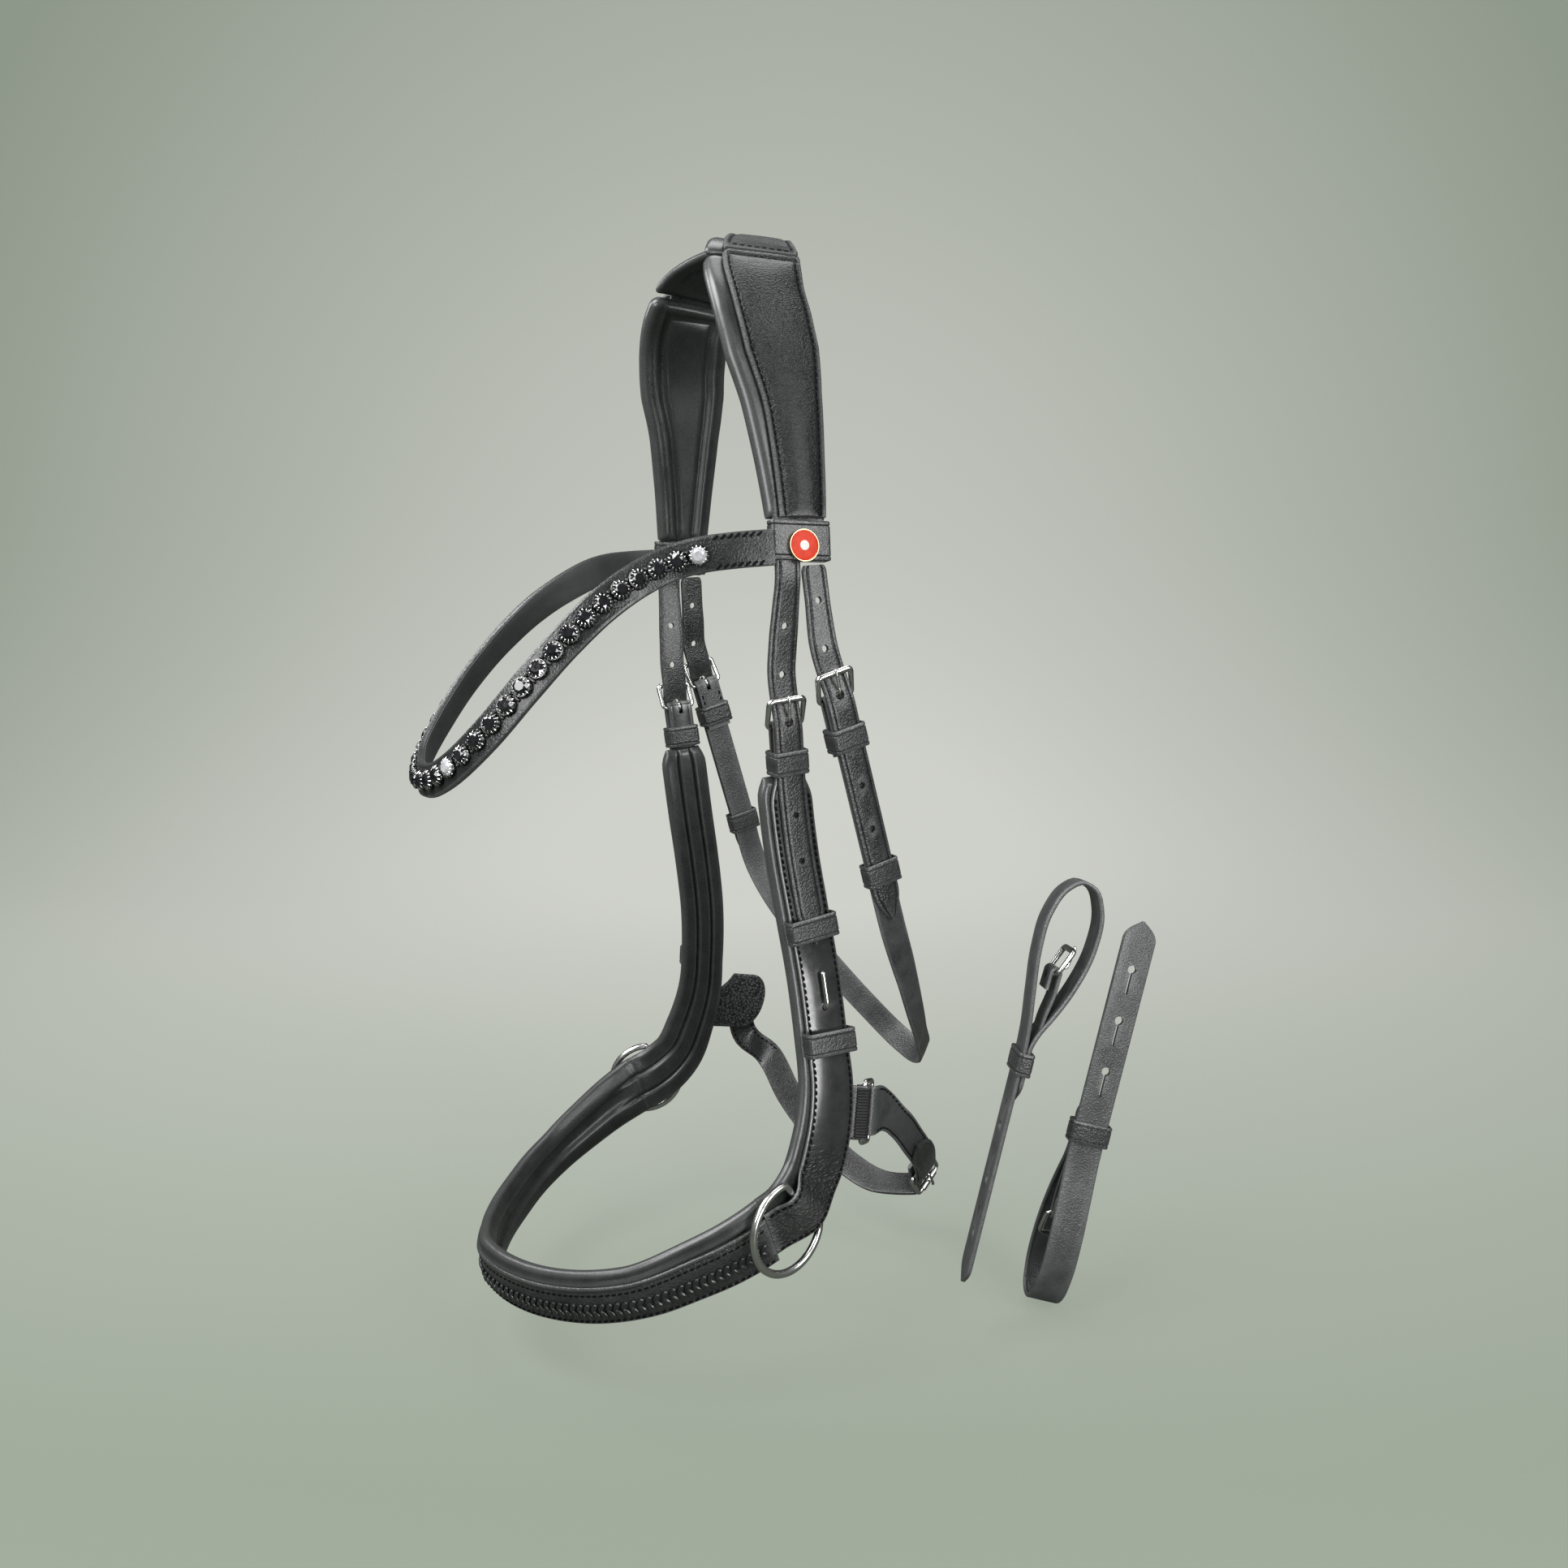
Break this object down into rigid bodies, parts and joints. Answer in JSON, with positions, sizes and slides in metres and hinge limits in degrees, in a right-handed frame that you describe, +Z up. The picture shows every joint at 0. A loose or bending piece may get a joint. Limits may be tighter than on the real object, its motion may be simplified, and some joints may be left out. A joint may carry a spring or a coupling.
{
  "type": "snaffle bridle",
  "caption": "Black leather snaffle bridle with padded crown, dipped jewelled browband, combined cheeks and noseband, throatlatch, chin strap and loose bit straps.",
  "frame": {"origin": "middle of the underside of the poll pad, where the bridle hangs on the horse's head", "axes": "+Z up, +X towards the horse's left, -Y towards its nose"},
  "size_m": [0.2602, 0.3984, 0.6129],
  "materials": {
    "leather": "satin",
    "padding": "matte",
    "metal": "gloss",
    "stones": "gloss",
    "enamel": "gloss"
  },
  "bodies": {
    "bridle": {"headpiece_strap": "leather", "poll_pad": "padding", "poll_cover": "leather", "nose_pad": "padding", "nose_strap": "leather", "nose_lacing": "leather", "crown_pad_left": "padding", "crown_pad_right": "padding", "crown_cover_left": "leather", "crown_cover_right": "leather", "cheek_strip_left": "leather", "cheek_strip_right": "leather", "cheek_pad_left": "padding", "cheek_pad_right": "padding", "cheek_upper_keeper_left": "leather", "cheek_upper_keeper_right": "leather", "cheek_lower_keeper_left": "leather", "cheek_lower_keeper_right": "leather", "bit_keeper_left": "leather", "bit_keeper_right": "leather", "bit_hook_left": "metal", "bit_hook_right": "metal", "cheek_buckle_frame_left": "metal", "cheek_buckle_frame_right": "metal", "bit_strap_left": "leather", "bit_strap_right": "leather", "bit_buckle_frame_left": "metal", "bit_buckle_frame_right": "metal"},
    "browband": {"browband": "leather", "browband_stones": "stones", "browband_badge_left": "enamel", "browband_badge_right": "enamel"},
    "throatlatch": {"throatlatch_strap": "leather", "throat_billet_left": "leather", "throat_billet_right": "leather", "throat_buckle_frame_left": "metal", "throat_buckle_frame_right": "metal", "throat_keeper_left": "leather", "throat_keeper_right": "leather"},
    "chin_strap": {"chin_tab_left": "leather", "chin_link": "metal", "chin_strap_near": "leather", "chin_buckle_frame": "metal", "chin_tab_right": "leather", "chin_strap_far": "leather"},
    "chin_roller": {"chin_roller": "metal"},
    "chin_tongue": {"chin_buckle_tongue": "metal"},
    "cheek_tongue_left": {"cheek_buckle_tongue_left": "metal"},
    "cheek_tongue_right": {"cheek_buckle_tongue_right": "metal"},
    "throat_tongue_left": {"throat_buckle_tongue_left": "metal"},
    "throat_tongue_right": {"throat_buckle_tongue_right": "metal"},
    "bit_tongue_left": {"bit_buckle_tongue_left": "metal"},
    "bit_tongue_right": {"bit_buckle_tongue_right": "metal"},
    "nose_ring_left": {"nose_ring_left": "metal"},
    "nose_ring_right": {"nose_ring_right": "metal"},
    "throat_runner_left": {"throat_runner_left": "leather"},
    "throat_runner_right": {"throat_runner_right": "leather"},
    "bit_runner_left": {"bit_runner_left": "leather"},
    "bit_runner_right": {"bit_runner_right": "leather"}
  },
  "joints": [
    {"name": "browband_tilt", "type": "hinge", "parent": "bridle", "child": "browband", "pos_m": [0, -0.008, -0.161], "axis": [1, 0, 0], "range_deg": [-3, 3]},
    {"name": "throatlatch_swing", "type": "hinge", "parent": "bridle", "child": "throatlatch", "pos_m": [0, 0.0002, -0.1785], "axis": [1, 0, 0], "range_deg": [0, 8]},
    {"name": "chin_strap_swing", "type": "hinge", "parent": "bridle", "child": "chin_strap", "pos_m": [0, 0.00508, -0.46275], "axis": [1, 0, 0], "range_deg": [0, 6]},
    {"name": "chin_roller_spin", "type": "hinge", "parent": "chin_strap", "child": "chin_roller", "pos_m": [0.03013, 0.11339, -0.55632], "axis": [0.2395, -0.7658, -0.5968], "continuous": true},
    {"name": "chin_tongue_lift", "type": "hinge", "parent": "chin_strap", "child": "chin_tongue", "pos_m": [0.034, 0.105, -0.544], "axis": [0.2395, -0.7658, -0.5968], "range_deg": [0, 12]},
    {"name": "cheek_tongue_lift_left", "type": "hinge", "parent": "bridle", "child": "cheek_tongue_left", "pos_m": [0.078, -0.013, -0.254], "axis": [0, 0.9949, 0.1007], "range_deg": [0, 12]},
    {"name": "throat_tongue_lift_left", "type": "hinge", "parent": "throatlatch", "child": "throat_tongue_left", "pos_m": [0.09, 0.011, -0.24], "axis": [0, 0.9603, 0.2791], "range_deg": [0, 12]},
    {"name": "nose_ring_lift_left", "type": "hinge", "parent": "bridle", "child": "nose_ring_left", "pos_m": [0.10813, -0.01599, -0.50696], "axis": [0.1168, -0.6084, 0.785], "range_deg": [0, 80]},
    {"name": "throat_runner_slide_left", "type": "slide", "parent": "throatlatch", "child": "throat_runner_left", "axis": [0.001, 0.2649, -0.9643], "range_m": [-0.022, 0.006]},
    {"name": "cheek_tongue_lift_right", "type": "hinge", "parent": "bridle", "child": "cheek_tongue_right", "pos_m": [-0.078, -0.013, -0.254], "axis": [0, -0.9949, -0.1007], "range_deg": [0, 12]},
    {"name": "throat_tongue_lift_right", "type": "hinge", "parent": "throatlatch", "child": "throat_tongue_right", "pos_m": [-0.09, 0.011, -0.24], "axis": [0, -0.9603, -0.2791], "range_deg": [0, 12]},
    {"name": "nose_ring_lift_right", "type": "hinge", "parent": "bridle", "child": "nose_ring_right", "pos_m": [-0.10813, -0.01599, -0.50696], "axis": [0.1168, 0.6084, -0.785], "range_deg": [0, 80]},
    {"name": "throat_runner_slide_right", "type": "slide", "parent": "throatlatch", "child": "throat_runner_right", "axis": [-0.001, 0.2649, -0.9643], "range_m": [-0.022, 0.006]},
    {"name": "bit_tongue_lift_left", "type": "hinge", "parent": "bridle", "child": "bit_tongue_left", "pos_m": [0.12306, 0.13263, -0.39396], "axis": [-0.8931, 0.4337, -0.1196], "range_deg": [0, 20]},
    {"name": "bit_tongue_lift_right", "type": "hinge", "parent": "bridle", "child": "bit_tongue_right", "pos_m": [0.11225, 0.1559, -0.55033], "axis": [0.4241, 0.8727, -0.2419], "range_deg": [0, 20]},
    {"name": "bit_runner_slide_left", "type": "slide", "parent": "bridle", "child": "bit_runner_left", "axis": [0, -0.2658, -0.964], "range_m": [0, 0.014]},
    {"name": "bit_runner_slide_right", "type": "slide", "parent": "bridle", "child": "bit_runner_right", "axis": [0.0088, 0.2631, 0.9647], "range_m": [0, 0.014]}
  ]
}
